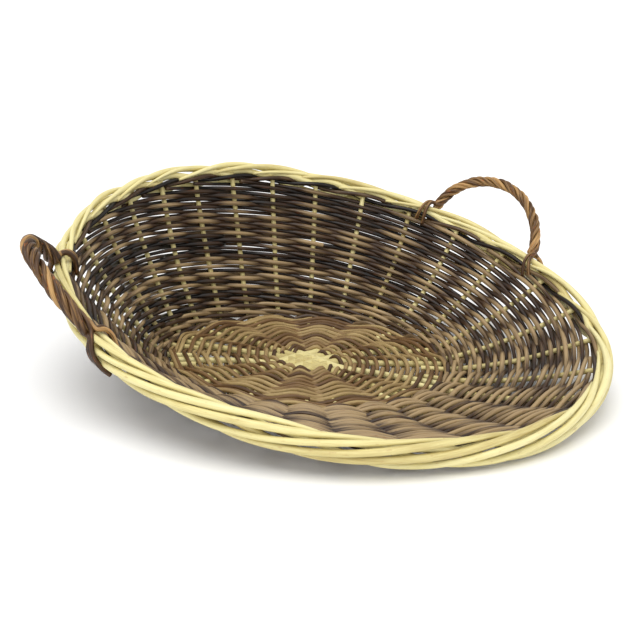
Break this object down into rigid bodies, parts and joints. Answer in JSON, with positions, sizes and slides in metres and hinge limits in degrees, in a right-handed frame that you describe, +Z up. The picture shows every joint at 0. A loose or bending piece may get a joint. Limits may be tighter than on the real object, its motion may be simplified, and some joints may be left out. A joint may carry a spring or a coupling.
{
  "type": "woven fruit basket",
  "caption": "Round woven willow basket with a sloping rod border, high at the back and low at the front, and a twisted ear handle on each side.",
  "frame": {"origin": "middle of the base's underside, on the surface that the basket stands on", "axes": "+Z up; +Y towards the high back of the rim, -Y towards its low front; +X and -X towards the two handles"},
  "size_m": [0.5681, 0.4905, 0.156],
  "materials": {
    "stake_willow": "peeled willow, pale straw yellow, softly satin",
    "base_stick_willow": "peeled willow sticks, straw yellow, cut ends",
    "border_willow": "peeled willow rods, pale buff yellow, satin with fine grain",
    "base_weaver_bark": "unpeeled willow, mid brown bark with a purple cast, satin",
    "side_weaver_bark": "unpeeled willow, dark brown to grey-brown bark, satin highlights",
    "handle_bark": "unpeeled willow, reddish brown bark with tan highlights, satin"
  },
  "bodies": {
    "root": {"base_weave": "base_weaver_bark", "border": "border_willow", "handle_left_bow": "handle_bark", "handle_left_strand_1": "handle_bark", "handle_left_strand_2": "handle_bark", "handle_left_strand_3": "handle_bark", "handle_right_bow": "handle_bark", "handle_right_strand_1": "handle_bark", "handle_right_strand_2": "handle_bark", "handle_right_strand_3": "handle_bark", "pierced_stick_1": "base_stick_willow", "pierced_stick_2": "base_stick_willow", "pierced_stick_3": "base_stick_willow", "siding_lower": "side_weaver_bark", "siding_upper": "side_weaver_bark", "stake_01": "stake_willow", "stake_02": "stake_willow", "stake_03": "stake_willow", "stake_04": "stake_willow", "stake_05": "stake_willow", "stake_06": "stake_willow", "stake_07": "stake_willow", "stake_08": "stake_willow", "stake_09": "stake_willow", "stake_10": "stake_willow", "stake_11": "stake_willow", "stake_12": "stake_willow", "stake_13": "stake_willow", "stake_14": "stake_willow", "stake_15": "stake_willow", "stake_16": "stake_willow", "stake_17": "stake_willow", "stake_18": "stake_willow", "stake_19": "stake_willow", "stake_20": "stake_willow", "stake_21": "stake_willow", "stake_22": "stake_willow", "stake_23": "stake_willow", "stake_24": "stake_willow", "stake_25": "stake_willow", "stake_26": "stake_willow", "stake_27": "stake_willow", "stake_28": "stake_willow", "through_stick_1": "base_stick_willow", "through_stick_2": "base_stick_willow", "through_stick_3": "base_stick_willow", "through_stick_4": "base_stick_willow", "wale": "side_weaver_bark"}
  },
  "joints": []
}
